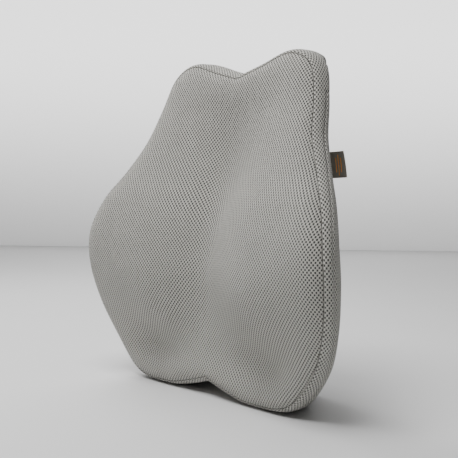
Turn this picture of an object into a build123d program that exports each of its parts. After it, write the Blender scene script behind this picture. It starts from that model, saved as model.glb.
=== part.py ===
from build123d import *
import os

os.makedirs("parts", exist_ok=True)

# Lumbar support cushion. Millimetres, +Z up, the sitter on the -Y side. The origin is on the
# flat back face, in the middle of the upper back panel, where the cushion rests on a backrest.

# Cushion outline, seen from the front. Heights are above the cushion's lowest point, and drops
# are below its top.
overall_width = 386.0
overall_height = 392.0
origin_drop = 102.0
top_dip = 22.0
ear_inner_x = 62.0
ear_outer_x = 106.0
neck_x = 130.0
neck_drop = 80.0
wing_top = 196.0
wing_bottom = 122.0
heel_x = 154.0
lobe_x = 52.0
notch_x = 22.0
notch_rise = 16.0
dip_radius = 40.0
ear_inner_radius = 50.0
ear_outer_radius = 24.0
neck_radius = 80.0
wing_radius = 60.0
heel_radius = 90.0
notch_radius = 40.0

# Cushion depth, seen from the side: how far the front stands out from the back face.
ear_depth = 57.0
ear_front_drop = 30.0
lumbar_depth = 136.0
lumbar_top = 190.0
lumbar_bottom = 118.0
foot_depth = 104.0
ear_front_radius = 60.0
lumbar_radius = 150.0

# The front curves back round the sitter: depths down the spine line, and the curve's radius.
spine_foot_depth = 86.0
spine_depth = 107.0
spine_lumbar_height = 135.0
spine_neck_drop = 107.0
spine_top_depth = 54.0
spine_radius = 150.0
wrap_radius = 380.0

# The flat back, and the side walls that slope out from it to the wings.
back_half_width = 95.0
wing_wall_depth = 119.0
back_edge_radius = 15.0

# Cover, inner liner and the seam between the liner's two halves.
cover_thickness = 3.5
liner_thickness = 0.8
liner_seam_depth = 30.0

# Zipper across the back, under the clear upper panel. The chain runs along X.
zipper_height = 192.0
chain_length = 168.0
slot_half_height = 5.0
tape_width = 14.0
tape_thickness = 0.6
tape_depth = 2.3
coil_width = 2.2
coil_height = 1.9
coil_gap = 1.0
slider_length = 12.0
slider_width = 8.6
slider_plate = 1.2
zip_clearance = 0.25
stop_length = 2.6
crown_length = 7.0
crown_width = 2.0
crown_height = 2.9
crown_hole_radius = 0.95
pull_pin_radius = 0.75
pull_length = 30.0
pull_width = 7.0
pull_thickness = 1.4
pull_side_clearance = 0.3

# Elastic strap behind the lower back panel, and its sewn-on patches.
strap_height = 138.0
strap_width = 38.0
strap_thickness = 1.4
strap_standoff = 16.0
ply_gap = 0.2
patch_length = 22.0
patch_margin = 4.0
patch_thickness = 1.2
strap_end_margin = 1.5
rise_start = 15.5
rise_end = 29.5
strap_bend = 3.0
tail_end = 44.0
tail_drop_start = 2.0
tail_drop_end = 10.0

# Side-release buckle, sized by the webbing.
bar_radius = 1.3
web_clearance = 0.25
slot_side_clearance = 1.0
web_slot = 4.5
buckle_thickness = 11.0
buckle_wall = 2.0
buckle_side_wall = 3.0
socket_length = 38.0
socket_mouth = -20.0
cavity_depth = 27.0
buckle_clearance = 0.3
window_start = 10.0
window_length = 13.0
plug_shoulder = 6.0
plug_end_bar = 3.0
arm_width = 4.0
arm_thickness = 5.0
arm_offset = 12.0
arm_length = 23.0
arm_catch = 2.3
tongue_width = 8.0
tongue_thickness = 3.0

# Keeper ring round the strap's two plies.
keeper_length = 10.0
keeper_wall = 1.3
keeper_start = 28.0

# Folded woven side label, sewn into the back edge of the gusset on the sitter's left.
label_height = 30.0
label_reach = 30.0
label_thickness = 1.2
label_drop = 126.0
label_root = 3.0

floor_z = origin_drop - overall_height
front_view = Plane(origin=(0, 0, floor_z), x_dir=(1, 0, 0), z_dir=(0, -1, 0))
side_view = Plane(origin=(0, 0, floor_z), x_dir=(0, -1, 0), z_dir=(-1, 0, 0))
half_width = overall_width / 2
side_slope = (half_width - back_half_width) / wing_wall_depth
reach = lumbar_depth + back_edge_radius
zipper_z = floor_z + zipper_height
strap_z = floor_z + strap_height
wrap_axis = Axis((0, -spine_depth - wrap_radius, floor_z), (0, 0, 1))


def finish(node, label):
    """Label a finished piece and write it."""
    node.part.label = label
    export_step(node.part, f"parts/{label}.step")


def outline_sketch(inset):
    """Front outline, drawn in by inset: ears, necks, wings and the two lobes at the foot."""
    with BuildSketch(front_view) as sketch:
        with BuildLine():
            FilletPolyline(
                (0, overall_height - top_dip),
                (notch_x, overall_height - top_dip),
                (ear_inner_x, overall_height),
                (ear_outer_x, overall_height),
                (neck_x, overall_height - neck_drop),
                (half_width, wing_top),
                (half_width, wing_bottom),
                (heel_x, 0),
                (lobe_x, 0),
                (notch_x, notch_rise),
                (0, notch_rise),
                radius=[
                    dip_radius,
                    ear_inner_radius,
                    ear_outer_radius,
                    neck_radius,
                    wing_radius,
                    wing_radius,
                    heel_radius,
                    notch_radius,
                    notch_radius,
                ],
            )
            mirror(about=Plane.YZ)
        make_face()
        if inset:
            offset(amount=-inset, kind=Kind.INTERSECTION)
    return sketch.sketch


def side_sketch(inset):
    """Side profile, drawn in by inset: thin ears, a thick lumbar region, a narrower foot."""
    with BuildSketch(side_view) as sketch:
        with BuildLine():
            front = FilletPolyline(
                (foot_depth, 0),
                (lumbar_depth, lumbar_bottom),
                (lumbar_depth, lumbar_top),
                (ear_depth, overall_height - ear_front_drop),
                (ear_depth, overall_height),
                radius=[lumbar_radius, lumbar_radius, ear_front_radius],
            )
            Polyline(front @ 1, (0, overall_height), (0, 0), front @ 0)
        make_face()
        if inset:
            offset(amount=-inset, kind=Kind.INTERSECTION)
    return sketch.sketch


def spine_sketch(inset):
    """All that lies behind the spine line, drawn in by inset; it turns about the wrap axis."""
    with BuildSketch(side_view) as sketch:
        with BuildLine():
            front = FilletPolyline(
                (spine_foot_depth, -reach),
                (spine_foot_depth, 0),
                (spine_depth, spine_lumbar_height),
                (spine_top_depth, overall_height - spine_neck_drop),
                (spine_top_depth, overall_height + reach),
                radius=spine_radius,
            )
            Polyline(front @ 1, (-reach, overall_height + reach), (-reach, -reach), front @ 0)
        make_face()
        if inset:
            offset(amount=-inset, kind=Kind.INTERSECTION)
    return sketch.sketch


def plan_sketch(inset):
    """Plan of the cushion: flat back, rounded back edges, walls sloping out to the wings."""
    front_half = back_half_width + side_slope * reach
    with BuildSketch(Plane.XY) as sketch:
        with BuildLine():
            Polyline(
                (-back_half_width, 0),
                (back_half_width, 0),
                (front_half, -reach),
                (-front_half, -reach),
                close=True,
            )
        make_face()
        if inset:
            offset(amount=-inset, kind=Kind.INTERSECTION)
        fillet(vertices().sort_by(Axis.Y)[-2:], back_edge_radius - inset)
    return sketch.sketch


def cushion_block(inset):
    """The whole cushion as one solid, taken in by inset on every side."""
    with BuildPart() as block:
        extrude(outline_sketch(inset), amount=reach, dir=(0, -1, 0))
        extrude(side_sketch(inset), amount=overall_width, both=True, mode=Mode.INTERSECT)
        revolve(spine_sketch(inset), axis=wrap_axis, mode=Mode.INTERSECT)
        extrude(plan_sketch(inset), amount=overall_height, both=True, mode=Mode.INTERSECT)
    return block.part


cover_cavity = cushion_block(cover_thickness)
liner_cavity = cushion_block(cover_thickness + liner_thickness)

with BuildPart() as foam_core:
    add(liner_cavity)
finish(foam_core, "foam_core")

seam_plane = Plane.XZ.offset(liner_seam_depth)
for half, keep in (("front", Keep.TOP), ("back", Keep.BOTTOM)):
    with BuildPart() as inner_liner:
        add(cover_cavity)
        add(liner_cavity, mode=Mode.SUBTRACT)
        split(bisect_by=seam_plane, keep=keep)
    finish(inner_liner, f"inner_liner_{half}")

# The cover's panels. The gusset is the ring that follows the outline; every other panel lies
# inside it and meets it at the seam line.
with BuildPart() as cover_side_gusset:
    extrude(outline_sketch(0), amount=reach, dir=(0, -1, 0))
    extrude(outline_sketch(cover_thickness), amount=reach, dir=(0, -1, 0), mode=Mode.SUBTRACT)
    extrude(side_sketch(0), amount=overall_width, both=True, mode=Mode.INTERSECT)
    revolve(spine_sketch(0), axis=wrap_axis, mode=Mode.INTERSECT)
    extrude(plan_sketch(0), amount=overall_height, both=True, mode=Mode.INTERSECT)
finish(cover_side_gusset, "cover_side_gusset")

with BuildPart() as front_space:
    extrude(side_sketch(cover_thickness), amount=overall_width, both=True)
    revolve(spine_sketch(cover_thickness), axis=wrap_axis, mode=Mode.INTERSECT)

with BuildPart() as cover_front_panel:
    extrude(outline_sketch(cover_thickness), amount=reach, dir=(0, -1, 0))
    extrude(side_sketch(0), amount=overall_width, both=True, mode=Mode.INTERSECT)
    revolve(spine_sketch(0), axis=wrap_axis, mode=Mode.INTERSECT)
    add(front_space.part, mode=Mode.SUBTRACT)
    split(bisect_by=Plane.XZ.offset(ear_depth / 2), keep=Keep.TOP)
finish(cover_front_panel, "cover_front_panel")

# The walls that slope from the back edges out to the wings, one on each side.
panel_half = back_half_width - back_edge_radius / 2
with BuildPart() as slope_walls:
    extrude(outline_sketch(cover_thickness), amount=reach, dir=(0, -1, 0))
    extrude(side_sketch(0), amount=overall_width, both=True, mode=Mode.INTERSECT)
    extrude(plan_sketch(0), amount=overall_height, both=True, mode=Mode.INTERSECT)
    extrude(plan_sketch(cover_thickness), amount=overall_height, both=True, mode=Mode.SUBTRACT)
    with Locations((0, 0, floor_z + overall_height / 2)):
        Box(2 * panel_half, 2 * cover_thickness, 2 * overall_height, mode=Mode.SUBTRACT)
    add(cover_front_panel.part, mode=Mode.SUBTRACT)
for side, wall in zip(("left", "right"), slope_walls.solids().sort_by(Axis.X)):
    with BuildPart() as cover_slope_panel:
        add(wall)
    finish(cover_slope_panel, f"cover_slope_panel_{side}")

with BuildPart() as back_skin:
    extrude(outline_sketch(cover_thickness), amount=cover_thickness, dir=(0, -1, 0))
    with Locations((0, 0, floor_z + overall_height / 2)):
        Box(2 * panel_half, 2 * cover_thickness, 2 * overall_height, mode=Mode.INTERSECT)

tape_y = -tape_depth + tape_thickness / 2
zip_plane = Plane.XY.offset(zipper_z)
for half, keep in (("upper", Keep.TOP), ("lower", Keep.BOTTOM)):
    with BuildPart() as back_panel:
        add(back_skin.part)
        with Locations((0, -cover_thickness / 2, zipper_z)):
            Box(chain_length, cover_thickness, 2 * slot_half_height, mode=Mode.SUBTRACT)
        with Locations((0, tape_y, zipper_z)):
            Box(chain_length, tape_thickness, 2 * tape_width, mode=Mode.SUBTRACT)
        split(bisect_by=zip_plane, keep=keep)
    finish(back_panel, f"cover_back_panel_{half}")

# Zipper: two tapes caught between the panel's folded edges, a coil on each, stops at the ends.
for half, up in (("upper", 1), ("lower", -1)):
    with BuildPart() as zipper_tape:
        with Locations((0, tape_y, zipper_z + up * (coil_gap / 2 + tape_width) / 2)):
            Box(chain_length, tape_thickness, tape_width - coil_gap / 2)
    finish(zipper_tape, f"zipper_tape_{half}")
    coil_bottom = -tape_depth + tape_thickness
    with BuildPart() as zipper_coil:
        coil_z = zipper_z + up * (coil_gap + coil_width) / 2
        with Locations((0, coil_bottom + coil_height / 2, coil_z)):
            Box(chain_length - 2 * stop_length, coil_height, coil_width)
        fillet(zipper_coil.faces().sort_by(Axis.Y)[-1].edges().filter_by(Axis.X), coil_width / 3)
    finish(zipper_coil, f"zipper_coil_{half}")

stop_height = coil_height + zip_clearance
stop_x = (chain_length - stop_length) / 2
with BuildPart() as zipper_top_stops:
    for up in (1, -1):
        with Locations((stop_x, coil_bottom + stop_height / 2, zipper_z + up * (coil_gap + coil_width) / 2)):
            Box(stop_length, stop_height, coil_width)
finish(zipper_top_stops, "zipper_top_stops")

with BuildPart() as zipper_bottom_stop:
    with Locations((-stop_x, coil_bottom + stop_height / 2, zipper_z)):
        Box(stop_length, stop_height, coil_gap + 2 * coil_width)
finish(zipper_bottom_stop, "zipper_bottom_stop")

# The slider stands against the top stops: the cover is closed. Its plates straddle the tapes.
slider_x = stop_x - stop_length / 2 - slider_length / 2 - zip_clearance
top_plate_y = coil_bottom + coil_height + zip_clearance
bottom_plate_y = -tape_depth - zip_clearance
bottom_plate = cover_thickness - tape_depth - 2 * zip_clearance
slider_top = top_plate_y + slider_plate
flange_bottom = coil_bottom + zip_clearance
flange_width = slider_width / 2 - coil_gap / 2 - coil_width - zip_clearance
post_width = coil_gap - 2 * zip_clearance
crown_hole_y = slider_top + crown_height - crown_hole_radius - (crown_height - 2 * crown_hole_radius) / 2
with BuildPart() as zipper_slider:
    with Locations((slider_x, (top_plate_y + slider_top) / 2, zipper_z)):
        Box(slider_length, slider_plate, slider_width)
    with Locations((slider_x, bottom_plate_y - bottom_plate / 2, zipper_z)):
        Box(slider_length, bottom_plate, slider_width)
    with Locations((slider_x, (bottom_plate_y + top_plate_y) / 2, zipper_z)):
        Box(slider_length / 3, top_plate_y - bottom_plate_y, post_width)
    for up in (1, -1):
        with Locations((slider_x, (flange_bottom + slider_top) / 2, zipper_z + up * (slider_width - flange_width) / 2)):
            Box(slider_length, slider_top - flange_bottom, flange_width)
    fillet(zipper_slider.edges().filter_by(Axis.Y).group_by(SortBy.LENGTH)[-1], flange_width / 3)
    with BuildSketch(Plane.XY.offset(zipper_z)):
        with Locations((slider_x, slider_top + crown_height / 2 - slider_plate / 4)):
            Rectangle(crown_length, crown_height + slider_plate / 2)
        fillet(vertices().group_by(Axis.Y)[-1], crown_height / 2)
        with Locations((slider_x, crown_hole_y)):
            Circle(crown_hole_radius, mode=Mode.SUBTRACT)
    extrude(amount=crown_width / 2, both=True)
finish(zipper_slider, "zipper_slider")

# The pull lies over the closed chain. Its cross pin sits in the slider's crown.
window_end = crown_length / 2 + pull_side_clearance + crown_height / 3
pull_neck = crown_width + 2 * pull_side_clearance
with BuildPart() as zipper_pull:
    with BuildSketch(Plane.XZ.offset(-crown_hole_y)):
        with Locations((slider_x - pull_length / 2, zipper_z)):
            RectangleRounded(pull_length, pull_width, pull_width / 4)
        with Locations((slider_x - window_end / 2, zipper_z)):
            Rectangle(window_end, pull_neck, mode=Mode.SUBTRACT)
        with Locations((slider_x - pull_length + pull_width / 2, zipper_z)):
            Circle(pull_width / 5, mode=Mode.SUBTRACT)
    extrude(amount=pull_thickness / 2, both=True)
    with Locations((slider_x, crown_hole_y, zipper_z)):
        Cylinder(pull_pin_radius, pull_width * 0.8)
finish(zipper_pull, "zipper_pull")

# Strap patches: a hard-wearing patch under each sewn end of the strap.
patch_x = panel_half - patch_length / 2
for side, along in (("left", -1), ("right", 1)):
    with BuildPart() as strap_patch:
        with Locations((along * patch_x, patch_thickness / 2, strap_z)):
            Box(patch_length, patch_thickness, strap_width + 2 * patch_margin)
        fillet(strap_patch.edges().filter_by(Axis.Y), patch_margin)
    finish(strap_patch, f"strap_patch_{side}")

# Left strap: one length of elastic folded round the socket's bar, both ends sewn to its patch.
strap_plane = Plane.XY.offset(strap_z)
buckle_plane = Plane.XZ.offset(-strap_standoff)
strap_end = panel_half - strap_end_margin
ply_pitch = strap_thickness + ply_gap
low_ply = patch_thickness + strap_thickness / 2
turn_radius = bar_radius + web_clearance + strap_thickness / 2
over_bar = strap_standoff + turn_radius
under_bar = strap_standoff - turn_radius
socket_start = socket_mouth - socket_length
socket_bar_x = socket_start + bar_radius
with BuildPart() as strap_left:
    with BuildSketch(strap_plane):
        with BuildLine():
            outer = FilletPolyline(
                (-strap_end, low_ply + ply_pitch),
                (-panel_half + rise_start, low_ply + ply_pitch),
                (socket_bar_x - turn_radius, over_bar),
                (socket_bar_x, over_bar),
                radius=[strap_bend, strap_thickness],
            )
            turn = ThreePointArc(outer @ 1, (socket_bar_x + turn_radius, strap_standoff), (socket_bar_x, under_bar))
            FilletPolyline(
                turn @ 1,
                (socket_bar_x - turn_radius / 2, under_bar),
                (-panel_half + rise_start + ply_pitch, low_ply),
                (-strap_end, low_ply),
                radius=[strap_thickness / 2, strap_bend],
            )
        trace(line_width=strap_thickness)
    extrude(amount=strap_width / 2, both=True)
finish(strap_left, "strap_left")

# Right strap: from its patch to the plug, up round the middle bar and back as the loose tail.
plug_face = socket_mouth + buckle_clearance
middle_bar_x = plug_face + plug_shoulder + web_slot + bar_radius
end_bar_x = middle_bar_x + bar_radius + web_slot + plug_end_bar / 2
plug_end = end_bar_x + plug_end_bar / 2
tail_ply = under_bar + ply_pitch
with BuildPart() as strap_right:
    with BuildSketch(strap_plane):
        with BuildLine():
            main = FilletPolyline(
                (strap_end, low_ply),
                (panel_half - rise_start, low_ply),
                (panel_half - rise_end, under_bar),
                (middle_bar_x, under_bar),
                radius=[strap_bend, strap_bend],
            )
            turn = ThreePointArc(main @ 1, (middle_bar_x - turn_radius, strap_standoff), (middle_bar_x, over_bar))
            FilletPolyline(
                turn @ 1,
                (plug_end + tail_drop_start, over_bar),
                (plug_end + tail_drop_end, tail_ply),
                (tail_end, tail_ply),
                radius=[strap_bend, strap_bend],
            )
        trace(line_width=strap_thickness)
    extrude(amount=strap_width / 2, both=True)
finish(strap_right, "strap_right")

# Buckle socket: a flat box with its mouth on +X, a window in each side for the plug's arms,
# and a round bar for the strap at its closed end.
web_half = strap_width / 2 + slot_side_clearance
buckle_width = 2 * (web_half + buckle_side_wall)
cavity_height = buckle_thickness - 2 * buckle_wall
bar_bay = 2 * bar_radius + web_slot
with BuildPart() as buckle_socket:
    with BuildSketch(buckle_plane):
        with Locations((socket_start + socket_length / 2, strap_z)):
            RectangleRounded(socket_length, buckle_width, buckle_side_wall)
        with Locations((socket_start + bar_bay / 2, strap_z)):
            Rectangle(bar_bay, 2 * web_half, mode=Mode.SUBTRACT)
    extrude(amount=buckle_thickness / 2, both=True)
    chamfer(buckle_socket.faces().filter_by(Axis.Y).edges(), buckle_wall / 4)
    with Locations((socket_mouth - cavity_depth / 2, strap_standoff, strap_z)):
        Box(cavity_depth, cavity_height, 2 * web_half, mode=Mode.SUBTRACT)
    with Locations((socket_mouth - window_start - window_length / 2, strap_standoff, strap_z)):
        Box(window_length, cavity_height, buckle_width, mode=Mode.SUBTRACT)
    with Locations((socket_bar_x, strap_standoff, strap_z)):
        Cylinder(bar_radius, 2 * web_half + buckle_side_wall)
finish(buckle_socket, "buckle_socket")

# Buckle plug: shoulder, guide tongue, two side rails, and the bars that grip the strap.
arm_seat_radius = arm_width / 2 + buckle_clearance / 2
tongue_length = arm_length - buckle_wall
with BuildPart() as buckle_plug:
    with BuildSketch(buckle_plane):
        with Locations(((plug_face + plug_end) / 2, strap_z)):
            Rectangle(plug_end - plug_face, buckle_width)
        bay_start = plug_face + plug_shoulder
        bay_end = plug_end - plug_end_bar
        with Locations(((bay_start + bay_end) / 2, strap_z)):
            Rectangle(bay_end - bay_start, 2 * web_half, mode=Mode.SUBTRACT)
        with Locations((plug_face, strap_z + arm_offset), (plug_face, strap_z - arm_offset)):
            Circle(arm_seat_radius, mode=Mode.SUBTRACT)
    extrude(amount=buckle_thickness / 2, both=True)
    chamfer(buckle_plug.faces().filter_by(Axis.Y).edges().filter_by(GeomType.LINE), buckle_wall / 4)
    with Locations((end_bar_x, strap_standoff, strap_z)):
        Box(plug_end_bar, buckle_thickness, 2 * web_half, mode=Mode.SUBTRACT)
    with Locations((middle_bar_x, strap_standoff, strap_z), (end_bar_x, strap_standoff, strap_z)):
        Cylinder(bar_radius, 2 * web_half + buckle_side_wall)
    with Locations((plug_face - tongue_length / 2 + plug_shoulder / 2, strap_standoff, strap_z)):
        Box(tongue_length + plug_shoulder, tongue_thickness, tongue_width)
finish(buckle_plug, "buckle_plug")

# The two sprung arms: round root in the plug's seat, catch in the socket's window.
catch_x = socket_mouth - window_start - buckle_clearance
arm_tip_x = plug_face - arm_length
catch_z = web_half + arm_catch
for side, up in (("upper", 1), ("lower", -1)):
    with BuildPart() as buckle_arm:
        with BuildSketch(buckle_plane):
            with BuildLine():
                Polyline(
                    (plug_face, strap_z + up * (arm_offset - arm_width / 2)),
                    (plug_face, strap_z + up * (arm_offset + arm_width / 2)),
                    (catch_x, strap_z + up * (web_half - buckle_clearance)),
                    (catch_x, strap_z + up * catch_z),
                    (catch_x - window_length / 2, strap_z + up * catch_z),
                    (arm_tip_x, strap_z + up * (web_half - arm_catch)),
                    (arm_tip_x, strap_z + up * (web_half - arm_catch - arm_width)),
                    (catch_x, strap_z + up * (web_half - arm_width - buckle_clearance)),
                    close=True,
                )
            make_face()
            with Locations((plug_face, strap_z + up * arm_offset)):
                Circle(arm_width / 2)
        extrude(amount=arm_thickness / 2, both=True)
    finish(buckle_arm, f"buckle_arm_{side}")

# Keeper: a flat ring that holds the loose tail down on the strap.
ring_low = under_bar - strap_thickness / 2 - web_clearance
ring_high = tail_ply + strap_thickness / 2 + web_clearance
ring_height = ring_high - ring_low
ring_half = strap_width / 2 + slot_side_clearance / 2
with BuildPart() as strap_keeper:
    with Locations((keeper_start + keeper_length / 2, (ring_low + ring_high) / 2, strap_z)):
        Box(keeper_length, ring_height + 2 * keeper_wall, 2 * (ring_half + keeper_wall))
        fillet(strap_keeper.edges().filter_by(Axis.X), keeper_wall)
        Box(keeper_length, ring_height, 2 * ring_half, mode=Mode.SUBTRACT)
finish(strap_keeper, "strap_keeper")

# Side label: a folded tab standing straight out of the back edge.
label_tip = back_half_width + label_reach
label_z = floor_z + overall_height - label_drop
with BuildPart() as side_label:
    with Locations((label_tip / 2, -label_root, label_z)):
        Box(label_tip, label_thickness, label_height)
    add(cushion_block(0), mode=Mode.SUBTRACT)
finish(side_label, "side_label")
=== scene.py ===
import bpy
import bmesh
from math import sin, cos, pi, exp, hypot, radians
from mathutils import Vector, Matrix, noise


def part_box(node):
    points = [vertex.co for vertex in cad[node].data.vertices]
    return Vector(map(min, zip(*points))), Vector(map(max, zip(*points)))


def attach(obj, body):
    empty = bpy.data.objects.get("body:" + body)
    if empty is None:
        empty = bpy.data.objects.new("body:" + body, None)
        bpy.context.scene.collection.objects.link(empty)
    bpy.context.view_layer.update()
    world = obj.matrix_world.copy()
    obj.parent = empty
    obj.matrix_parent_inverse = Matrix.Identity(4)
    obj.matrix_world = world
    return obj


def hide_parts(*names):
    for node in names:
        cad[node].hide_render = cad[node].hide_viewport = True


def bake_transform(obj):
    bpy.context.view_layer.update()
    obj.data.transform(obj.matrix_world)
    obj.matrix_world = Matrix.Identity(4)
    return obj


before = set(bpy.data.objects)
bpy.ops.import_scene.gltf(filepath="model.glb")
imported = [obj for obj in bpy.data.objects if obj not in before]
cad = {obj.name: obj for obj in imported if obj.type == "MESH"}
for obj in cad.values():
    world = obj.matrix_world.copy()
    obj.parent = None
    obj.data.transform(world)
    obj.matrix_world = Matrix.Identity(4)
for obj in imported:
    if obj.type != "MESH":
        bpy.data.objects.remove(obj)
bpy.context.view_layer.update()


# Studio. A camera a little above the cushion's middle looks at it from the sitter's left. One wide
# soft light hangs above and in front, another to the far side, and the cushion stands on a plain
# pale floor before a pale wall that glows more towards its top.
turn, rise, roll = radians(44.0), radians(2.53), radians(0.76)
away = Vector((sin(turn) * cos(rise), -cos(turn) * cos(rise), sin(rise)))
level = Vector((cos(turn), sin(turn), 0.0))
lift = away.cross(level)
across = cos(roll) * level + sin(roll) * lift
upward = cos(roll) * lift - sin(roll) * level
looked_at = Vector((0.0, -0.060, -0.095))
camera_distance = 0.8812
camera_data = bpy.data.cameras.new("studio_camera")
camera_data.lens = 58.9
camera_data.shift_x = -0.0028
camera_data.shift_y = -0.0079
camera = bpy.data.objects.new("studio_camera", camera_data)
camera.matrix_world = Matrix.Translation(looked_at + camera_distance * away) @ Matrix(
    (across, upward, away)).transposed().to_4x4()
bpy.context.collection.objects.link(camera)
bpy.context.scene.camera = camera


def soft_light(name, place, aim, size, power):
    """A square soft light at place, turned to shine at aim."""
    data = bpy.data.lights.new(name, "AREA")
    data.shape, data.size, data.energy = "SQUARE", size, power
    light = bpy.data.objects.new(name, data)
    light.location = place
    light.rotation_euler = (Vector(aim) - Vector(place)).to_track_quat("-Z", "Y").to_euler()
    bpy.context.collection.objects.link(light)


lit_middle = (0.0, -0.08, -0.1)
soft_light("light_above", (0.0, -0.59, 1.15), lit_middle, 0.7, 20.5)
soft_light("light_left", (-0.97, 0.05, 0.89), lit_middle, 0.7, 11.5)
world = bpy.data.worlds.new("pale_room")
bpy.context.scene.world = world
world.use_nodes = True
room_light = world.node_tree.nodes["Background"]
room_light.inputs["Color"].default_value = (1.0, 1.0, 1.0, 1.0)
room_light.inputs["Strength"].default_value = 0.12


class Thread:
    """One socket of a material; arithmetic on it adds the nodes that do the sum."""

    def __init__(self, tree, socket=None):
        self.tree, self.socket = tree, socket

    def node(self, kind, settings, inputs, output=0):
        """Adds any node, with its settings and its inputs, and gives one of its outputs."""
        made = self.tree.nodes.new(kind)
        for name, value in settings.items():
            setattr(made, name, value)
        for name, value in inputs.items():
            if isinstance(value, Thread):
                self.tree.links.new(value.socket, made.inputs[name])
            else:
                made.inputs[name].default_value = value
        return Thread(self.tree, made.outputs[output])

    def sum(self, operation, *values):
        return self.node("ShaderNodeMath", {"operation": operation}, dict(enumerate(values)))

    def __add__(self, other):
        return self.sum("ADD", self, other)

    def __sub__(self, other):
        return self.sum("SUBTRACT", self, other)

    def __rsub__(self, other):
        return self.sum("SUBTRACT", other, self)

    def __mul__(self, other):
        return self.sum("MULTIPLY", self, other)

    __radd__, __rmul__ = __add__, __mul__

    def wave(self, period, shift=0.0):
        """A sine along this, once in every period."""
        return self.sum("SINE", self * (2 * pi / period) + shift)

    def off(self, middle):
        """How far this is from a middle value, either way."""
        return self.sum("ABSOLUTE", self - middle)

    def step(self, low, high):
        """0 below low, 1 above high, smooth between."""
        return self.node("ShaderNodeMapRange", {"interpolation_type": "SMOOTHSTEP"},
                         {"Value": self, "From Min": low, "From Max": high})

    def tint(self, first, second):
        """The first colour where this is 0, the second where it is 1."""
        return self.node("ShaderNodeMix", {"data_type": "RGBA"}, {0: self, 6: first, 7: second}, 2)

    def noise(self, place, scale, detail=2.0):
        """Soft noise that varies about 0.5, scale times in a metre."""
        return self.node("ShaderNodeTexNoise", {}, {"Vector": place, "Scale": scale, "Detail": detail})

    def place(self):
        """Where the shaded point is, in the object's own metres."""
        return Thread(self.tree, self.tree.nodes.new("ShaderNodeTexCoord").outputs["Object"])

    def parts(self, vector):
        """The x, y and z of a vector."""
        split = self.node("ShaderNodeSeparateXYZ", {}, {"Vector": vector})
        return [Thread(self.tree, socket) for socket in split.socket.node.outputs]

    def bump(self, height, depth):
        """A normal raised by height, depth metres where height is 1."""
        return self.node("ShaderNodeBump", {}, {"Height": height, "Distance": depth, "Strength": 1.0})


def new_material(name, **constants):
    """An empty Principled material: the thread to build on and the shader node."""
    material = bpy.data.materials.new(name)
    material.use_nodes = True
    shader = material.node_tree.nodes["Principled BSDF"]
    for socket, value in constants.items():
        shader.inputs[socket.replace("_", " ")].default_value = value
    return material, Thread(material.node_tree), shader


def feed(shader, **links):
    """Joins threads to the shader's sockets."""
    for socket, thread in links.items():
        thread.tree.links.new(thread.socket, shader.inputs[socket.replace("_", " ")])


pale_low, pale_high = (0.80, 0.80, 0.80, 1), (0.83, 0.83, 0.83, 1)
floor_paint, thread, shader = new_material("floor_paint", Roughness=0.9)
feed(shader, Base_Color=thread.noise(thread.place(), 3.0).tint(pale_low, pale_high))
wall_paint, thread, shader = new_material("wall_paint", Roughness=0.9, Emission_Strength=1.8)
_, _, z = thread.parts(thread.place())
feed(shader, Base_Color=thread.noise(thread.place(), 1.0).tint(pale_low, pale_high),
     Emission_Color=z.step(-0.35, 0.6).tint((0.17, 0.17, 0.17, 1), (1.0, 1.0, 1.0, 1)))


def object_from(name, bm, *materials):
    """A new object from a finished bmesh, smooth shaded, at the origin."""
    mesh = bpy.data.meshes.new(name)
    for face in bm.faces:
        face.smooth = True
    bm.to_mesh(mesh)
    bm.free()
    for material in materials:
        mesh.materials.append(material)
    made = bpy.data.objects.new(name, mesh)
    bpy.context.collection.objects.link(made)
    return made


floor_z = -0.290
wall_half, wall_away, sunk = 1.5, 2.2, 0.01
bm = bmesh.new()
bmesh.ops.create_grid(bm, x_segments=1, y_segments=1, size=4.0)
bmesh.ops.translate(bm, verts=bm.verts, vec=(0, 0, floor_z - 0.0005))
object_from("studio_floor", bm, floor_paint)
bm = bmesh.new()
bmesh.ops.create_grid(bm, x_segments=1, y_segments=1, size=wall_half)
for angle, axis in ((pi / 2, "X"), (turn, "Z")):
    bmesh.ops.rotate(bm, verts=bm.verts, cent=(0, 0, 0), matrix=Matrix.Rotation(angle, 3, axis))
bmesh.ops.translate(bm, verts=bm.verts, vec=(-wall_away * sin(turn), wall_away * cos(turn),
                                             floor_z + wall_half - sunk))
object_from("studio_wall", bm, wall_paint)


# Front panel. One cut of grey three-layer air mesh over the whole moulded front: crowned just
# inside its sewn edge, hollowed down the spine line, curving round the sitter towards the wings.
# The seam round it is a plain closed seam, turned in, so it shows as a narrow valley.
def between(stations, place):
    """The value at place on a smooth line through (place, value) stations."""
    last = len(stations) - 1
    if place <= stations[0][0]:
        return stations[0][1]
    if place >= stations[last][0]:
        return stations[last][1]
    i = max(k for k in range(last) if stations[k][0] <= place)

    def slope(k):
        low, high = stations[max(k - 1, 0)], stations[min(k + 1, last)]
        return (high[1] - low[1]) / (high[0] - low[0])

    gap = stations[i + 1][0] - stations[i][0]
    t = (place - stations[i][0]) / gap
    rising = t * t * (3 - 2 * t)
    ends = stations[i][1] * (1 - rising) + stations[i + 1][1] * rising
    return ends + gap * (t * (1 - t) ** 2 * slope(i) - t * t * (1 - t) * slope(i + 1))


# The seam's right half, from the dip at the top to the notch at the foot: half width, height.
seam_half = (
    (0.000, 0.366), (0.034, 0.376), (0.078, 0.388), (0.107, 0.374), (0.121, 0.334),
    (0.132, 0.293), (0.152, 0.255), (0.172, 0.221), (0.184, 0.184), (0.186, 0.140),
    (0.176, 0.091), (0.155, 0.048), (0.119, 0.011), (0.067, 0.0055), (0.034, 0.012), (0.000, 0.0225))
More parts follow.
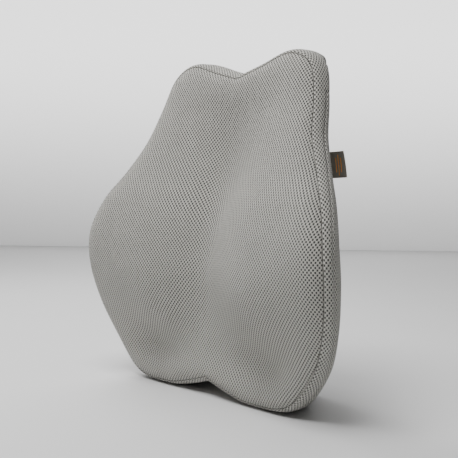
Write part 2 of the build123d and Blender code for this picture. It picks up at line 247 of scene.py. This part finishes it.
# Height, then how far the front stands out there: at the seam and down the spine.
seam_depth = (
    (0.000, 0.098), (0.050, 0.103), (0.095, 0.115), (0.140, 0.125), (0.180, 0.127),
    (0.222, 0.114), (0.256, 0.095), (0.294, 0.078), (0.336, 0.062), (0.375, 0.052), (0.395, 0.050))
spine_depth = (
    (0.000, 0.094), (0.022, 0.093), (0.041, 0.085), (0.075, 0.085), (0.110, 0.089), (0.144, 0.092),
    (0.179, 0.085), (0.213, 0.073), (0.248, 0.057), (0.283, 0.047), (0.318, 0.045),
    (0.354, 0.047), (0.370, 0.049))
# Height, then the panel's half width.
half_width = (
    (0.000, 0.110), (0.048, 0.155), (0.091, 0.176), (0.140, 0.186), (0.184, 0.184), (0.221, 0.172),
    (0.255, 0.152), (0.293, 0.134), (0.334, 0.122), (0.374, 0.112), (0.395, 0.108))
# Height, then how far the front beside the spine stands out past the groove down it.
spine_groove = (
    (0.070, 0.0), (0.120, 0.004), (0.160, 0.0065), (0.230, 0.0065), (0.290, 0.003), (0.330, 0.0))
crown = 0.0085
valley_depth, valley_width = 0.0010, 0.0016
mesh_cloth = 0.0030
around = 384
middle = Vector((0.0, 0.190))

ticks = [0.0]
for a, b in zip(seam_half, seam_half[1:]):
    ticks.append(ticks[-1] + hypot(b[0] - a[0], b[1] - a[1]))
width_line = [(tick, point[0]) for tick, point in zip(ticks, seam_half)]
height_line = [(tick, point[1]) for tick, point in zip(ticks, seam_half)]
seam = []
for k in range(around):
    share = 2 * k / around
    side = 1 if share <= 1 else -1
    tick = ticks[-1] * (share if share <= 1 else 2 - share)
    seam.append(Vector((side * between(width_line, tick), between(height_line, tick))))


def outward(loop):
    """The outward direction at each point of a clockwise loop."""
    found = []
    for k in range(len(loop)):
        run = loop[(k + 1) % len(loop)] - loop[k - 1]
        found.append(Vector((-run.y, run.x)).normalized())
    return found


seam_out = outward(seam)
puckers = [noise.noise(Vector((90 * p.x, 90 * p.y, 4.0))) for p in seam]


def rounded(e, width):
    """0 at the edge, rising softly to 1 over a few widths."""
    return 1 - exp(-e / width)


def mound(x, height, place, spread):
    """1 at a place on either half of the front, falling off softly all round it."""
    return exp(-((abs(x) - place[0]) / spread[0]) ** 2 - ((height - place[1]) / spread[1]) ** 2)


def front_depth(x, height, e):
    """How far the front stands out from the back, e inside the seam."""
    spine, edge = between(spine_depth, height), between(seam_depth, height)
    share = min(abs(x) / between(half_width, height), 1.0)
    wrap = 0.5 * share ** 2 + 0.5 * rounded(x * x, 2 * 0.038 ** 2)
    hollow = between(spine_groove, height) * rounded(x * x, 2 * 0.018 ** 2)
    hollow -= 0.0135 * mound(x, height, (0.090, 0.044), (0.045, 0.030))
    hollow += 0.0070 * mound(x, height, (0.085, 0.118), (0.050, 0.040))
    soft = 0.0012 * noise.noise(Vector((14 * x, 14 * height, 1.0))) * rounded(e, 0.03)
    plain = spine + (edge - spine) * wrap
    to_seam = (edge - plain) * exp(-e / 0.020)
    return plain + to_seam + (hollow + soft) * rounded(e, 0.02) + crown * rounded(e, 0.011)


def cushion_point(x, height, depth):
    """A point of the cushion in the frame; the foot is pressed flat where it stands."""
    flat, soft = 0.0015, 0.0025
    pressed = height if height > flat + soft else flat + soft * exp((height - flat - soft) / soft)
    return Vector((x, -depth, floor_z + pressed))


def verts_of(geometry):
    """The vertices among what an operator gives back."""
    return [item for item in geometry if isinstance(item, bmesh.types.BMVert)]


def next_ring(bm, ring):
    """Extrudes a ring of vertices outwards from an open edge; the new ring in the same order."""
    edges = [bm.edges.get((ring[k], ring[(k + 1) % len(ring)])) for k in range(len(ring))]
    grown = bmesh.ops.extrude_edge_only(bm, edges=edges)["geom"]
    new = set(verts_of(grown))
    return [next(e.other_vert(v) for e in v.link_edges if e.other_vert(v) in new) for v in ring]


def first_ring(bm):
    """A loop of vertices to start a piece from, in order."""
    made = bmesh.ops.create_circle(bm, segments=around, radius=1.0)["verts"]
    return sorted(made, key=lambda v: v.index)


def set_weave(bm, weave):
    """Writes the cloth's own coordinates, in metres, to a UV map."""
    layer = bm.loops.layers.uv.new("weave")
    for face in bm.faces:
        spots = [weave[loop.vert] for loop in face.loops]
        far = max(spot[1] for spot in spots)
        for loop, spot in zip(face.loops, spots):
            wrapped = far > 0.6 * seam_length and spot[1] < 0.3 * seam_length
            loop[layer].uv = (spot[0], spot[1] + seam_length if wrapped else spot[1])


seam_length = 2 * ticks[-1]
# Shares of the way in from the seam, closer together where the crown turns.
steps = [0.0, 0.004, 0.009, 0.016, 0.025, 0.037, 0.052, 0.07, 0.09, 0.112, 0.136, 0.162, 0.19]
while steps[-1] < 0.96:
    steps.append(steps[-1] + 0.0225)
steps.append(1.0)

air_mesh, thread, shader = new_material("air_mesh", Roughness=0.92, Sheen_Weight=0.25, Sheen_Roughness=0.5,
                                        Specular_IOR_Level=0.2)
weave_at = thread.node("ShaderNodeUVMap", {"uv_map": "weave"}, {})
u, v, _ = thread.parts(weave_at)
wobble = thread.noise(weave_at, 260.0) - 0.5
hole_pitch, hole_row = 0.0040, 0.00250
net = u.wave(hole_pitch, 0.5 * wobble + pi / 2) * v.wave(2 * hole_row, pi / 2)
hole = net.step(-0.10, 0.50)
stitch = 0.5 + 0.5 * u.wave(0.00082) * v.wave(0.0010)
heather = thread.noise(weave_at, 900.0, 3.0)
cloud = thread.noise(thread.place(), 22.0)
shade = 0.55 * heather + 0.25 * stitch + 0.2 * cloud
yarn = shade.tint((0.46, 0.447, 0.405, 1), (0.86, 0.84, 0.775, 1))
# The holes are coloured near black: painted shade for the dark inside each opening of the mesh. Their bump
# is real relief.
feed(shader,
     Base_Color=(0.95 * hole).tint(yarn, (0.05, 0.049, 0.045, 1)),
     Normal=thread.bump((1.0 - hole) + 0.14 * stitch + 0.1 * heather, 0.0018))

bm = bmesh.new()
ring = first_ring(bm)
rings = [ring]
for step in steps:
    if step:
        ring = next_ring(bm, ring)
        rings.append(ring)
    for k, vertex in enumerate(ring):
        inward = middle - seam[k]
        e = step * inward.length * max(-seam_out[k].dot(inward.normalized()), 0.35)
        x, height = seam[k] + step * inward
        valley = valley_depth * exp(-e / valley_width)
        pucker = 0.0007 * puckers[k] * exp(-e / 0.012) * rounded(e, 0.002)
        vertex.co = cushion_point(x, height, front_depth(x, height, e) - valley + pucker)
weave = {vertex: (0.0, 0.2) for vertex in ring}
for inner, outer_ring in zip(rings[::-1], rings[-2::-1]):
    for k, vertex in enumerate(outer_ring):
        go = vertex.co - inner[k].co
        along = go.length / hypot(go.x, go.z)
        weave[vertex] = (weave[inner[k]][0] + along * go.x, weave[inner[k]][1] + along * go.z)
set_weave(bm, weave)
bmesh.ops.pointmerge(bm, verts=ring, merge_co=ring[0].co)
bmesh.ops.recalc_face_normals(bm, faces=bm.faces)
if sum(face.normal.y for face in bm.faces) > 0:
    bmesh.ops.reverse_faces(bm, faces=bm.faces)
front_panel = object_from("front_panel", bm, air_mesh)


def give_thickness(piece, thickness):
    """Turns a sheet into cloth of that thickness, grown inwards."""
    layer = piece.modifiers.new("cloth thickness", "SOLIDIFY")
    layer.thickness, layer.offset = thickness, -1.0
    layer.use_quality_normals = True


give_thickness(front_panel, mesh_cloth)
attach(front_panel, "root")
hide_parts("cover_front_panel")


# Gusset and slope panels. The same air mesh goes round the sides: the gusset rolls over from the
# seam, and over the ears and the foot it runs on to the back. At the wings a slope panel goes on
# from it, straight back to the flat back panel's edge, over the foam's slanted flanks.
# Height, then the back panel's half width.
back_half_width = (
    (0.000, 0.084), (0.060, 0.094), (0.110, 0.099), (0.150, 0.099), (0.210, 0.093), (0.265, 0.087),
    (0.320, 0.092), (0.395, 0.096))
roll_out = 0.0065
# Height, then how far back from the seam the gusset's roll turns.
roll_depth = (
    (0.000, 0.020), (0.060, 0.016), (0.140, 0.010), (0.200, 0.010), (0.290, 0.015), (0.380, 0.018))
edge_round = 0.009
roll_shares = (0.0, 0.06, 0.13, 0.22, 0.34, 0.48, 0.64, 0.82, 1.0)
roll_rings, wall_rings, fold_rings = len(roll_shares) - 1, 26, 6
flank_top, flank_foot = 0.115, 0.392
outer = [seam[k] + roll_out * seam_out[k] for k in range(around)]
back_loop = []
for point in outer:
    limit = between(back_half_width, point.y)
    back_loop.append(Vector((max(-limit, min(limit, point.x)), point.y)))
for _ in range(10):
    back_loop = [0.25 * back_loop[k - 1] + 0.5 * back_loop[k] + 0.25 * back_loop[(k + 1) % around]
                 for k in range(around)]
back_out = outward(back_loop)
back_in = []
for point, way in zip(back_loop, back_out):
    inward = (middle - point).normalized()
    back_in.append(inward / max(-way.dot(inward), 0.5))
puffs = [noise.noise(Vector((16 * p.x, 16 * p.y, 9.0))) for p in seam]


def side_section(k):
    """The gusset's line from the seam to the back panel's edge, at one place round the loop."""
    seam_height = seam[k].y
    depth = between(seam_depth, seam_height)
    drop = between(roll_depth, seam_height)
    line = []
    for share in roll_shares:
        angle = share * pi / 2
        place = seam[k] + roll_out * sin(angle) * seam_out[k]
        arc = share * roll_out * 1.2
        valley = valley_depth * exp(-arc / valley_width)
        line.append(cushion_point(place.x, place.y, depth - drop * (1 - cos(angle)) - valley))
    start = depth - drop
    lean = (back_loop[k] - outer[k]).length
    for step in range(1, wall_rings + 1):
        t = step / wall_rings
        place = outer[k].lerp(back_loop[k], t ** 1.38)
        bow = (0.0022 + 0.0010 * puffs[k]) * sin(pi * t) * (1 if lean > 0.02 else 0.4)
        place = place + bow * seam_out[k]
        line.append(cushion_point(place.x, place.y, start + (edge_round - start) * t))
    for step in range(1, fold_rings + 1):
        angle = step / fold_rings * pi / 2
        place = back_loop[k] + edge_round * (1 - cos(angle)) * back_in[k]
        sink = 0.0014 * (step == fold_rings)
        line.append(cushion_point(place.x, place.y, edge_round * (1 - sin(angle)) + sink))
    return line


sections = [side_section(k) for k in range(around)]
last_ring = len(sections[0]) - 1
bm = bmesh.new()
sewn = bm.verts.layers.int.new("sewn")
ring = first_ring(bm)
weave, ring_of = {}, {}
for j in range(last_ring + 1):
    if j:
        ring = next_ring(bm, ring)
    for k, vertex in enumerate(ring):
        vertex.co = sections[k][j]
        vertex[sewn] = int(j in (0, roll_rings, last_ring))
        span = sum((sections[k][i + 1] - sections[k][i]).length for i in range(j))
        weave[vertex] = (span, seam_length * k / around)
        ring_of[vertex] = j, k
set_weave(bm, weave)
bmesh.ops.recalc_face_normals(bm, faces=bm.faces)
heart = Vector((0, -0.06, -0.1))
if sum(face.normal.dot(face.calc_center_median() - heart) for face in bm.faces) < 0:
    bmesh.ops.reverse_faces(bm, faces=bm.faces)
part_layer = bm.faces.layers.int.new("part")
for face in bm.faces:
    rings = [ring_of[vertex][0] for vertex in face.verts]
    ks = [ring_of[vertex][1] for vertex in face.verts]
    low = min(ks) if max(ks) - min(ks) < around / 2 else around - 1
    share = low / around
    flank = flank_top < share < flank_foot or 1 - flank_foot <= share < 1 - flank_top
    if flank and min(rings) >= roll_rings:
        face[part_layer] = 1 if share < 0.5 else 2
side_mesh = bpy.data.meshes.new("side_mesh")
bm.to_mesh(side_mesh)
bm.free()


def side_piece(name, part, node):
    """One cloth piece out of the side, with its edges turned in a little where it is sewn."""
    bm = bmesh.new()
    bm.from_mesh(side_mesh)
    layer = bm.faces.layers.int["part"]
    bmesh.ops.delete(bm, geom=[f for f in bm.faces if f[layer] != part], context="FACES")
    for vertex in bm.verts:
        vertex.normal_update()
    sewn = bm.verts.layers.int["sewn"]
    tucked = [(v, v.normal * (0.0006 if v[sewn] else 0.0002)) for v in bm.verts if v.is_boundary]
    for vertex, move in tucked:
        vertex.co -= move
    piece = object_from(name, bm, air_mesh)
    give_thickness(piece, mesh_cloth)
    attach(piece, "root")
    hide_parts(node)


side_piece("side_gusset", 0, "cover_side_gusset")
side_piece("slope_panel_right", 1, "cover_slope_panel_right")
side_piece("slope_panel_left", 2, "cover_slope_panel_left")


# Back panels. A flat charcoal knit closes the back in two parts, above and below the zipper. Their
# edges fold in along the zipper's opening and round the outside seam.
zipper_z = -0.098
chain_half, slot_half = 0.084, 0.005
back_cloth, edge_sunk = 0.0022, 0.0011
back_knit, thread, shader = new_material("back_knit", Roughness=0.95, Sheen_Weight=0.2,
                                         Specular_IOR_Level=0.2)
x, _, z = thread.parts(thread.place())
wales = x.wave(0.0013)
knit = 0.5 + 0.3 * wales + 0.2 * z.wave(0.0011, wales)
fuzz = thread.noise(thread.place(), 1400.0, 3.0)
wear = thread.noise(thread.place(), 14.0)
shade = 0.45 * knit + 0.35 * fuzz + 0.2 * wear
feed(shader,
     Base_Color=shade.tint((0.022, 0.022, 0.024, 1), (0.085, 0.085, 0.09, 1)),
     Normal=thread.bump(knit + 0.4 * fuzz, 0.0004))


def cut(bm, place, square_to, **cleared):
    """Cuts a whole mesh along the plane through place."""
    everything = bm.verts[:] + bm.edges[:] + bm.faces[:]
    bmesh.ops.bisect_plane(bm, geom=everything, plane_co=place, plane_no=square_to, **cleared)


bm = bmesh.new()
ring = first_ring(bm)
# How far inside the rounded edge, then the share of the way on to the middle.
stations = [(0.0002, 0.0), (0.0014, 0.0), (0.0034, 0.0)]
stations += [(0.006, share) for share in (0.05, 0.15, 0.3, 0.45, 0.6, 0.75, 0.9)] + [(0.0, 1.0)]
for j, (inside, share) in enumerate(stations):
    if j:
        ring = next_ring(bm, ring)
    for k, vertex in enumerate(ring):
        place = back_loop[k] + (edge_round + inside) * back_in[k]
        place = place.lerp(middle, share)
        vertex.co = cushion_point(place.x, place.y, 0.0)
bmesh.ops.pointmerge(bm, verts=ring, merge_co=ring[0].co)
fold = 0.0012
for at in (chain_half, chain_half + fold, -chain_half, -chain_half - fold):
    cut(bm, (at, 0, 0), (1, 0, 0))
for at in (0, fold, -fold, slot_half, slot_half + fold, -slot_half, -slot_half - fold):
    cut(bm, (0, 0, zipper_z + at), (0, 0, 1))
opening = []
for face in bm.faces:
    spot = face.calc_center_median()
    if abs(spot.x) < chain_half and abs(spot.z - zipper_z) < slot_half:
        opening.append(face)
bmesh.ops.delete(bm, geom=opening, context="FACES")
bmesh.ops.recalc_face_normals(bm, faces=bm.faces)
if bm.faces[:][0].normal.y < 0:
    bmesh.ops.reverse_faces(bm, faces=bm.faces)
back_mesh = bpy.data.meshes.new("back_mesh")
bm.to_mesh(back_mesh)
bm.free()
for half, way in (("upper", 1), ("lower", -1)):
    bm = bmesh.new()
    bm.from_mesh(back_mesh)
    other = [f for f in bm.faces if (f.calc_center_median().z - zipper_z) * way < 0]
    bmesh.ops.delete(bm, geom=other, context="FACES")
    for vertex in bm.verts:
        soft = 0.5 + 0.5 * noise.noise(Vector((22 * vertex.co.x, 3.0, 22 * vertex.co.z)))
        vertex.co.y = -edge_sunk if vertex.is_boundary else -0.0006 * soft
    panel = object_from(f"back_panel_{half}", bm, back_knit)
    give_thickness(panel, back_cloth)
    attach(panel, "root")
    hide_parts(f"cover_back_panel_{half}")


# Foam core and its liner. One moulded block of open-cell foam fills the cover, inside a thin white
# jersey bag of two halves that keeps it clean when the cover comes off.
foam_skin, thread, shader = new_material("foam_skin", Roughness=0.9, Specular_IOR_Level=0.2)
cells = thread.node("ShaderNodeTexVoronoi", {}, {"Vector": thread.place(), "Scale": 900.0})
patches = thread.noise(thread.place(), 18.0)
feed(shader, Base_Color=(0.6 * cells + 0.4 * patches).tint((0.80, 0.74, 0.58, 1), (0.90, 0.87, 0.76, 1)),
     Normal=thread.bump(cells, 0.0003))
jersey, thread, shader = new_material("liner_jersey", Roughness=0.92, Specular_IOR_Level=0.2)
x, _, _ = thread.parts(thread.place())
wales = x.wave(0.0009)
feed(shader, Base_Color=(0.5 + 0.5 * wales).tint((0.72, 0.71, 0.68, 1), (0.84, 0.83, 0.80, 1)),
     Normal=thread.bump(wales, 0.0002))


def inner_form(inset):
    """The whole cushion as one closed bmesh, smoothed over the seams and drawn in by inset."""
    bm = bmesh.new()
    for mesh in (front_panel.data, side_mesh):
        bm.from_mesh(mesh)
    folds = [f for f in bm.faces if f.calc_center_median().y > -edge_round]
    bmesh.ops.delete(bm, geom=folds, context="FACES")
    bmesh.ops.remove_doubles(bm, verts=bm.verts, dist=0.0002)
    rim = [e for e in bm.edges if e.is_boundary]
    back_edge = {v for e in rim for v in e.verts}
    bmesh.ops.triangle_fill(bm, edges=rim, use_beauty=True)
    bmesh.ops.recalc_face_normals(bm, faces=bm.faces)
    if bm.calc_volume(signed=True) < 0:
        bmesh.ops.reverse_faces(bm, faces=bm.faces)
    front_edge = [v for v in bm.verts if v.co.y < -0.02]
    for _ in range(12):
        bmesh.ops.smooth_vert(bm, verts=front_edge, factor=0.5, use_axis_x=True, use_axis_y=True,
                              use_axis_z=True)
    for vertex in bm.verts:
        vertex.normal_update()
    moves = [(vertex, vertex.normal * inset) for vertex in bm.verts]
    for vertex, move in moves:
        vertex.co -= move
    for vertex in back_edge:
        vertex.co.y = -inset
    return bm


foam_inset, liner_inset, liner_seam, liner_cloth = 0.0062, 0.0045, 0.030, 0.0006
bm = inner_form(foam_inset)
core = object_from("foam_block", bm, foam_skin)
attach(core, "root")
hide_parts("foam_core")
for half, keep_front in (("front", True), ("back", False)):
    bm = inner_form(liner_inset)
    cut(bm, (0, -liner_seam, 0), (0, 1, 0), clear_outer=keep_front, clear_inner=not keep_front)
    bag = object_from(f"liner_{half}", bm, jersey)
    give_thickness(bag, liner_cloth)
    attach(bag, "root")
    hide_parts(f"inner_liner_{half}")


# Side label. A folded tab of taupe damask ribbon, caught by its two ends in the back edge on the
# sitter's left. It stands straight out and carries three plain orange lines, with no lettering.
label_weave, thread, shader = new_material("label_weave", Roughness=0.75, Sheen_Weight=0.2)
label_middle, label_tall, label_root, label_reach = -0.024, 0.030, 0.0935, 0.0285
x, _, z = thread.parts(thread.place())
satin = 0.5 + 0.25 * z.wave(0.00045) + 0.25 * x.wave(0.0006)
leaning = x - 0.1130 + 0.14 * (z - label_middle)
lines = 0.0
for at, reach in ((0.0, 0.0115), (0.0034, 0.0080), (-0.0034, 0.0080)):
    wide = 1.0 - leaning.off(at).step(0.00050, 0.00075)
    long = 1.0 - z.off(label_middle).step(reach, reach + 0.0003)
    lines = wide * long + lines
ground = satin.tint((0.19, 0.170, 0.142, 1), (0.33, 0.300, 0.250, 1))
feed(shader,
     Base_Color=lines.tint(ground, (0.90, 0.38, 0.06, 1)),
     Normal=thread.bump(satin + 0.6 * lines, 0.00025))
bm = bmesh.new()
label_low, row_tall = label_middle - label_tall / 2, label_tall / 10
tip = bm.verts.new((label_root, -0.0022, label_low))
path = [(0.100, -0.0024), (0.106, -0.0025), (0.1125, -0.0024), (0.1185, -0.0023), (0.1215, -0.0026),
        (0.1220, -0.0031), (0.1214, -0.0036), (0.1185, -0.0039), (0.1125, -0.0037), (0.106, -0.0036),
        (0.100, -0.0038), (label_root, -0.0039)]
for x, y in path:
    tip = bmesh.ops.extrude_vert_indiv(bm, verts=[tip])["verts"][0]
    tip.co = (x, y, label_low)
edges = bm.edges[:]
for _ in range(10):
    grown = bmesh.ops.extrude_edge_only(bm, edges=edges)["geom"]
    bmesh.ops.translate(bm, verts=verts_of(grown), vec=(0, 0, row_tall))
    edges = [item for item in grown if isinstance(item, bmesh.types.BMEdge)]
for vertex in bm.verts:
    reach = (vertex.co.x - label_root) / label_reach
    vertex.co.y += 0.0009 * reach * sin(95 * (vertex.co.z - label_low))
    vertex.co.z += 0.0010 * reach * reach
    vertex.co.x -= 0.20 * reach * (vertex.co.z - label_middle)
bmesh.ops.recalc_face_normals(bm, faces=bm.faces)
label = object_from("side_tab", bm, label_weave)
ply = label.modifiers.new("ribbon", "SOLIDIFY")
ply.thickness, ply.offset = 0.0004, 0.0
round_off = label.modifiers.new("soft ribbon", "SUBSURF")
round_off.levels = round_off.render_levels = 1
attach(label, "root")
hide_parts("side_label")


# Zipper. Woven tapes sewn behind the folded edges of the opening, a nylon coil on each, crimped
# stops at both ends and a dark plated slider whose pull lies along the closed chain.
zip_tape, thread, shader = new_material("zip_tape", Roughness=0.85, Sheen_Weight=0.15)
x, _, z = thread.parts(thread.place())
twill = 0.5 + 0.3 * z.wave(0.0010) + 0.2 * x.wave(0.0007)
feed(shader, Base_Color=twill.tint((0.012, 0.012, 0.013, 1), (0.045, 0.045, 0.048, 1)),
     Normal=thread.bump(twill, 0.0002))
zip_coil, thread, shader = new_material("zip_coil", Roughness=0.45, Coat_Weight=0.1)
scuff = thread.noise(thread.place(), 300.0)
feed(shader, Base_Color=scuff.tint((0.018, 0.018, 0.02, 1), (0.04, 0.04, 0.043, 1)),
     Roughness=0.35 + 0.2 * scuff)
zip_metal, thread, shader = new_material("zip_metal", Metallic=1.0)
scuff = thread.noise(thread.place(), 160.0, 4.0)
drawn_out = thread.node("ShaderNodeMapping", {}, {"Vector": thread.place(), "Scale": (60.0, 900.0, 900.0)})
scratch = thread.noise(drawn_out, 1.0, 3.0)
feed(shader, Base_Color=scuff.tint((0.10, 0.10, 0.105, 1), (0.24, 0.24, 0.25, 1)),
     Roughness=0.25 + 0.25 * scratch, Normal=thread.bump(scratch, 0.00006))


def finish_cad(material, *names):
    """Gives carried-over pieces their finish."""
    for name in names:
        piece = cad[name]
        piece.data.materials.clear()
        piece.data.materials.append(material)


finish_cad(zip_tape, "zipper_tape_upper", "zipper_tape_lower")
finish_cad(zip_metal, "zipper_top_stops", "zipper_bottom_stop", "zipper_slider", "zipper_pull")
coil_low, coil_top = -0.0017, 0.0001
tooth_pitch, tooth_width, tooth_reach, tooth_off = 0.0015, 0.00095, 0.0023, 0.00148
cord_radius, cord_off = 0.00045, 0.0022
for half, up in (("upper", 1), ("lower", -1)):
    bm = bmesh.new()
    made = bmesh.ops.create_cube(bm, size=1.0)["verts"]
    bmesh.ops.scale(bm, verts=made, vec=(tooth_width, coil_top - coil_low, tooth_reach))
    bmesh.ops.bevel(bm, geom=bm.edges[:], offset=0.0003, offset_type="OFFSET", segments=1, profile=0.5,
                    affect="EDGES", material=-1)
    lowest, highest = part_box(f"zipper_coil_{half}")
    start = lowest.x + 0.0008 + (0.5 * tooth_pitch if up < 0 else 0.0)
    bmesh.ops.translate(bm, verts=bm.verts,
                        vec=(start, (coil_low + coil_top) / 2, zipper_z + up * tooth_off))
    tooth = bm.verts[:] + bm.edges[:] + bm.faces[:]
    for k in range(1, int((highest.x - start - 0.0006) / tooth_pitch) + 1):
        copy = bmesh.ops.duplicate(bm, geom=tooth)["geom"]
        bmesh.ops.translate(bm, verts=verts_of(copy), vec=(k * tooth_pitch, 0, 0))
    cord = bmesh.ops.create_cone(bm, cap_ends=True, segments=10, radius1=cord_radius, radius2=cord_radius,
                                 depth=highest.x - lowest.x)["verts"]
    bmesh.ops.rotate(bm, verts=cord, cent=(0, 0, 0), matrix=Matrix.Rotation(pi / 2, 3, "Y"))
    bmesh.ops.translate(bm, verts=cord, vec=((highest.x + lowest.x) / 2, coil_low + 2 * cord_radius,
                                             zipper_z + up * cord_off))
    coil = object_from(f"coil_{half}", bm, zip_coil)
    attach(coil, "root")
    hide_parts(f"zipper_coil_{half}")


# Strap patches. Two rounded patches of the back's knit, doubled, sewn on where the strap's ends
# are held, so that they spread the pull.
finish_cad(back_knit, "strap_patch_left", "strap_patch_right")


# Elastic strap. Black woven elastic with ribs along it. The left length is folded round the
# socket's bar; the right one goes round the plug's middle bar and back under the keeper as a tail.
# Both are sewn through their patches with boxed rows of thread.
elastic, thread, shader = new_material("elastic", Roughness=0.8, Sheen_Weight=0.25, Sheen_Roughness=0.4)
strap_z = -0.152
x, _, z = thread.parts(thread.place())
ribs = z.wave(0.0019)
selvedge = z.off(strap_z).step(0.0172, 0.0178)
height = 0.5 + 0.35 * ribs + 0.15 * x.wave(0.0011, 1.2 * ribs)
shade = 0.8 * height * (1.0 - 0.5 * selvedge)
feed(shader, Base_Color=shade.tint((0.008, 0.008, 0.009, 1), (0.045, 0.045, 0.048, 1)),
     Normal=thread.bump(height, 0.00035))
finish_cad(elastic, "strap_left")
bm = bmesh.new()
bm.from_mesh(cad["strap_right"].data)
bmesh.ops.remove_doubles(bm, verts=bm.verts, dist=0.00001)
for k in range(24):
    cut(bm, (-0.006 + 0.003 * k, 0, 0), (1, 0, 0))
right = object_from("elastic_right", bm, elastic)
for polygon in right.data.polygons:
    polygon.use_smooth = False
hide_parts("strap_right")
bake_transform(right)

sewing_thread, thread, shader = new_material("sewing_thread", Roughness=0.7, Sheen_Weight=0.2)
fibre = thread.noise(thread.place(), 3000.0)
feed(shader, Base_Color=fibre.tint((0.02, 0.02, 0.022, 1), (0.07, 0.07, 0.075, 1)))
patch_thick, stitch_pitch = 0.0012, 0.003
for side, way in (("left", -1), ("right", 1)):
    bm = bmesh.new()
    made = bmesh.ops.create_uvsphere(bm, u_segments=8, v_segments=5, radius=1.0)["verts"]
    bmesh.ops.scale(bm, verts=made, vec=(0.0012, 0.0003, 0.0003))
    stitch_geom = bm.verts[:] + bm.edges[:] + bm.faces[:]
    top = patch_thick + (0.0030 if side == "left" else 0.0014)
    places = []
    for row in (-0.0165, 0.0165):
        for k in range(5):
            places.append((way * (0.0735 + stitch_pitch * k), row, 0.0))
    for column in (0.0720, 0.0850):
        for k in range(11):
            places.append((way * column, -0.015 + stitch_pitch * k, pi / 2))
    for k in range(9):
        for slope in (1, -1):
            places.append((way * (0.0737 + 0.00125 * k), slope * (-0.0145 + 0.0036 * k), slope * way * 1.24))
    for x, z, angle in places:
        copy = verts_of(bmesh.ops.duplicate(bm, geom=stitch_geom)["geom"])
        bmesh.ops.rotate(bm, verts=copy, cent=(0, 0, 0), matrix=Matrix.Rotation(-angle, 3, "Y"))
        bmesh.ops.translate(bm, verts=copy, vec=(x, top, strap_z + z))
    bmesh.ops.delete(bm, geom=made, context="VERTS")
    stitches = object_from(f"strap_stitches_{side}", bm, sewing_thread)
    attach(stitches, "root")


# Buckle and keeper. Side-release buckle and flat keeper ring moulded in black acetal with a fine
# spark-eroded texture, a little polished where fingers press the arms.
buckle_plastic, thread, shader = new_material("buckle_plastic", Specular_IOR_Level=0.45)
grain = thread.noise(thread.place(), 2200.0, 3.0)
rub = thread.noise(thread.place(), 60.0)
feed(shader, Base_Color=rub.tint((0.016, 0.016, 0.017, 1), (0.032, 0.032, 0.034, 1)),
     Roughness=0.38 + 0.22 * grain, Normal=thread.bump(grain, 0.00008))
finish_cad(buckle_plastic, "buckle_socket", "buckle_plug", "buckle_arm_upper", "buckle_arm_lower",
           "strap_keeper")
